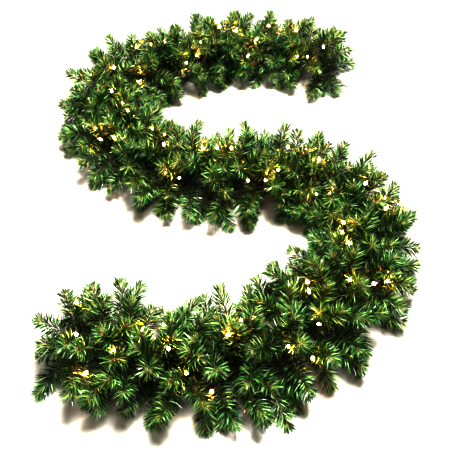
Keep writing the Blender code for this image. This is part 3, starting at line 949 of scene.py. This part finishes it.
def stem():
    """Two wires twisted tight, as one flat bar that turns about itself, with a blunt end."""
    bm = bmesh.new()
    corners = bmesh.ops.create_circle(bm, segments=4, radius=1, cap_ends=False)["verts"]
    bmesh.ops.scale(bm, vec=STEM_HALF, verts=corners)
    bmesh.ops.translate(bm, vec=(0, 0, -STEM_INWARD), verts=corners)
    length = TIP_LENGTH + STEM_INWARD
    bmesh.ops.spin(
        bm, geom=[*corners, *bm.edges], cent=(0, 0, 0), axis=(0, 0, 1), dvec=(0, 0, length / STEM_RINGS),
        angle=2 * math.pi * STEM_TWISTS, steps=STEM_RINGS, use_merge=False, use_duplicate=False)
    bmesh.ops.holes_fill(bm, edges=[edge for edge in bm.edges if edge.is_boundary], sides=4)
    bmesh.ops.recalc_face_normals(bm, faces=bm.faces[:])
    for face in bm.faces:
        face.smooth = True
    return mesh_from("stem", bm)


def winding():
    """The stems' wire, wound tight round the rope, as it stands on Z."""
    rise = SLEEVE_LENGTH - 2 * WINDING_WIRE_RADIUS
    share = np.linspace(0, 1, WINDING_STEPS + 1)
    turns = coil(WINDING_RADIUS, 2 * math.pi * WINDING_TURNS * share, WINDING_WIRE_RADIUS + rise * share)
    return wound("winding", [turns], WINDING_WIRE_RADIUS)


def between(ends, share):
    """The number that lies at that share of the way from the first to the second."""
    return ends[0] + (ends[1] - ends[0]) * share


class Brush:
    """The needles of one straight tip that stands on Z, and the numbers that its finish reads."""

    def __init__(self, seed, shapes):
        draw = random.Random(seed)
        self.corners = len(shapes[0].vertices)
        heights = places_of(shapes[0])[:, 2] / NEEDLE_LENGTH
        self.root = int(heights.argmin())
        self.point = int(heights.argmax())
        self.middle = [corner for corner in range(self.corners) if corner not in (self.root, self.point)]
        bm = bmesh.new()
        self.numbers = []
        for number in range(NEEDLES):
            crowded = (max(0, number + draw.uniform(-1, 1)) / NEEDLES) ** NEEDLE_CROWDING
            share = between(NEEDLE_SPAN, crowded)
            splay = float(np.interp(share, (0, END_SHARE, 1), NEEDLE_SPLAYS))
            splay += draw.uniform(-NEEDLE_SPLAY_STRAY, NEEDLE_SPLAY_STRAY)
            size = draw.uniform(*NEEDLE_SIZES)
            size *= 1 - END_SHORTENING * max(0, share - END_SHARE) / (1 - END_SHARE)
            self.add(bm, draw, shapes, share, number * GOLDEN_TURN, splay, size)
        for number in range(CROWN_NEEDLES):
            out = number / (CROWN_NEEDLES - 1)
            size = between(CROWN_LENGTHS, out) / NEEDLE_LENGTH * draw.uniform(*CROWN_SIZES)
            self.add(bm, draw, shapes, 1, number * GOLDEN_TURN, between(CROWN_SPLAYS, out), size)
        for number in range(BROWN_NEEDLES):
            share = BROWN_START + BROWN_SPAN * (number + draw.random()) / BROWN_NEEDLES
            size = BROWN_LENGTH / NEEDLE_LENGTH * draw.uniform(*BROWN_SIZES)
            splay = draw.uniform(*BROWN_SPLAYS)
            self.add(bm, draw, shapes, share, BROWN_TURNS * number * GOLDEN_TURN, splay, size, brown=1)
        self.mesh = mesh_from("brush", bm)
        self.places = places_of(self.mesh)
        shades, browns, shares = np.repeat(self.numbers, self.corners, axis=0).T
        alongs = np.tile(heights, len(self.numbers))
        self.marks = {"along": alongs, "shade": shades, "brown": browns, "share": shares}

    def add(self, bm, draw, shapes, share, turn, splay, size, brown=0):
        """One more needle, with its root at that share of the stem, and the numbers that its finish reads."""
        bm.from_mesh(draw.choice(shapes))
        place = Matrix.Translation((0, 0, share * TIP_LENGTH))
        place = place @ Matrix.Rotation(turn + draw.uniform(-NEEDLE_TURN_STRAY, NEEDLE_TURN_STRAY), 4, "Z")
        place = place @ Matrix.Rotation(math.radians(splay), 4, "Y") @ Matrix.Scale(size, 4)
        bmesh.ops.transform(bm, matrix=place, verts=bm.verts[-self.corners:])
        self.numbers.append((draw.random(), brown, share))


def stem_line(tip):
    """The tip's stem as a line, and how much longer than the usual stem it is."""
    points = [tip.at(step / STEM_LINE_STEPS) for step in range(STEM_LINE_STEPS + 1)]
    line = Line(points, UP.cross(tip.direction).normalized())
    return line, line.reach[-1] / TIP_LENGTH


def turned_about(places, roll, stretch):
    """Turns a standing piece about Z and makes it longer."""
    cosine, sine = math.cos(roll), math.sin(roll)
    x, y, z = places.T
    return np.stack([cosine * x - sine * y, sine * x + cosine * y, stretch * z], axis=1)


def eased(heights):
    """Heights near and below the floor, brought up so that they end just over it and keep their order."""
    depth = FLOOR_SOFT - FLOOR_CLEAR
    raised = FLOOR_CLEAR + depth * np.exp((heights - FLOOR_SOFT) / depth)
    return np.where(heights > FLOOR_SOFT, heights, raised)


def grown(brush, tip, roll):
    """A brush bent along its tip. Needles that would leave the garland's box are shorter.

    Low ones lie down, so the floor is no limit to their length."""
    line, stretch = stem_line(tip)
    needles = line.bend(turned_about(brush.places, roll, stretch)).reshape(-1, brush.corners, 3)
    root = needles[:, brush.root].copy()
    reach = needles[:, brush.point] - root
    limits = np.where(reach > 0, np.array(cad_high), np.array(cad_low) - UP)
    allowed = (limits - root) / np.where(np.abs(reach) < NO_REACH, NO_REACH, reach)
    shorter = np.clip(BOX_SHARE * allowed.min(axis=1), SHORTEST_NEEDLE, 1)[:, None, None]
    needles = root[:, None] + shorter * (needles - root[:, None])
    middle = needles[:, brush.middle, 2].mean(axis=1)
    needles[:, brush.middle, 2] += (eased(middle) - middle)[:, None]
    needles[:, brush.root, 2] = eased(needles[:, brush.root, 2])
    needles[:, brush.point, 2] = eased(needles[:, brush.point, 2])
    return np.clip(needles.reshape(-1, 3), np.array(cad_low), np.array(cad_high))


def needle_finish():
    """Cut film in mixed greens, glossy, with some brown film among it. Painted shade darkens the needles'
    roots and the needles near the rope, and the brightest needles carry a painted highlight.
    """
    constants = {"Specular IOR Level": 0.55, "Coat Weight": 0.35, "Coat Roughness": 0.12}
    finish = Finish("green_needle_film", constants)
    yellowish_deep, bluish_deep = (0.0030, 0.019, 0.0009, 1), (0.0015, 0.020, 0.0028, 1)
    yellowish_bright, bluish_bright = (0.285, 0.540, 0.080, 1), (0.150, 0.490, 0.150, 1)
    # The first colour here is a painted highlight, which the brightest needles blend into.
    painted_highlight, fresh_yellow = (0.41, 0.61, 0.33, 1), (0.78, 0.78, 0.38, 1)
    # A near-black brown: painted shade for the needles deep inside the garland, near the rope.
    painted_inner_shade = (0.011, 0.0072, 0.0022, 1)
    dark_brown, light_brown = (0.040, 0.019, 0.006, 1), (0.34, 0.17, 0.05, 1)
    along, shade, tone = finish.read("along"), finish.read("shade"), finish.read("tone")
    streak = finish.noise(240.0, 3.0)
    # Each tip has its own tone of green. A needle is darker at its root, which is painted shade where the
    # needles crowd together, and few needles are bright.
    deep = finish.blend(tone, yellowish_deep, bluish_deep)
    bright = finish.blend(tone, yellowish_bright, bluish_bright)
    light = (0.24 + 0.76 * along) * (2.7 * shade ** 3.4 + 0.04) + 0.3 * (streak - 0.5)
    green = finish.blend(light.clamped(), deep, bright)
    # Needles brighter still blend into a paler colour: a painted highlight.
    green = finish.blend((light * 1.3 - 0.7).clamped(), green, painted_highlight)
    # The needles at the end of a tip are yellow at their roots, and those near the rope are darkened towards
    # a near-black brown, which is painted shade of the garland's crowded inside.
    share = finish.read("share")
    fresh = (share * 7.0 - 6.0).clamped() * (1.0 - 1.8 * along)
    green = finish.blend(fresh.clamped(), green, fresh_yellow)
    green = finish.blend((1.0 - 1.35 * share).clamped(), green, painted_inner_shade)
    brown = finish.blend(shade, dark_brown, light_brown)
    finish.feed("Base Color", finish.blend(finish.read("brown"), green, brown))
    finish.feed("Roughness", 0.22 + 0.2 * streak)
    finish.bump(finish.noise(700.0), distance=0.12 * MM, strength=0.5)
    return finish.material


def stem_finish():
    """Twisted wire in a flecked brown coat, with a pale yellow-green cut end."""
    finish = Finish("brown_stem_wire", {"Specular IOR Level": 0.45})
    dark_coat, light_coat, cut = (0.030, 0.017, 0.007, 1), (0.17, 0.095, 0.04, 1), (0.85, 0.80, 0.42, 1)
    along, fleck = finish.read("along"), finish.noise(420.0, 3.0)
    coat = finish.blend(fleck, dark_coat, light_coat)
    end = ((along - 0.93) * 14.0).clamped()
    finish.feed("Base Color", finish.blend(end, coat, cut))
    finish.feed("Roughness", 0.42 + 0.2 * fleck)
    finish.bump(fleck, distance=0.2 * MM, strength=0.6)
    return finish.material


sprays = draw_sprays()
chance = random.Random(SEED + 1)
shapes = [needle(roll) for roll in NEEDLE_ROLLS]
brushes = [Brush(seed, shapes) for seed in range(BRUSHES)]
film, stem_wire = needle_finish(), stem_finish()
stem_shape, winding_shape = stem(), winding()
stem_places, winding_places = places_of(stem_shape), places_of(winding_shape)
stem_along = np.clip(stem_places[:, 2] / TIP_LENGTH, 0, 1)
stem_parts, stem_marks = [], []
for number, tips in enumerate(sprays, start=1):
    brush_parts, marks = [], {"along": [], "shade": [], "brown": [], "tone": [], "share": []}
    for tip in tips:
        brush, roll = chance.choice(brushes), chance.uniform(0, 2 * math.pi)
        tone = np.full(len(brush.places), chance.random())
        brush_parts.append((brush.mesh, grown(brush, tip, roll)))
        for name, values in (*brush.marks.items(), ("tone", tone)):
            marks[name].append(values)
        line, stretch = stem_line(tip)
        stem_parts.append((stem_shape, line.bend(turned_about(stem_places, roll, stretch))))
        stem_marks.append(stem_along)
    centre, along = sleeve_place(number - 1)
    held = Line([centre - SLEEVE_LENGTH / 2 * along, centre + SLEEVE_LENGTH / 2 * along], UP)
    stem_parts.append((winding_shape, held.bend(winding_places)))
    stem_marks.append(np.zeros(len(winding_places)))
    spray_name = f"pine_spray_{number:02d}"
    mesh = joined(spray_name, brush_parts)
    for name, values in marks.items():
        mark(mesh, name, np.concatenate(values))
    piece(spray_name, mesh, [film], [f"spray_{number:02d}"])
stems = joined("stems", stem_parts)
mark(stems, "along", np.concatenate(stem_marks))
piece("stems", stems, [stem_wire], [f"spray_{number:02d}" for number in range(1, SPRAYS + 1)])
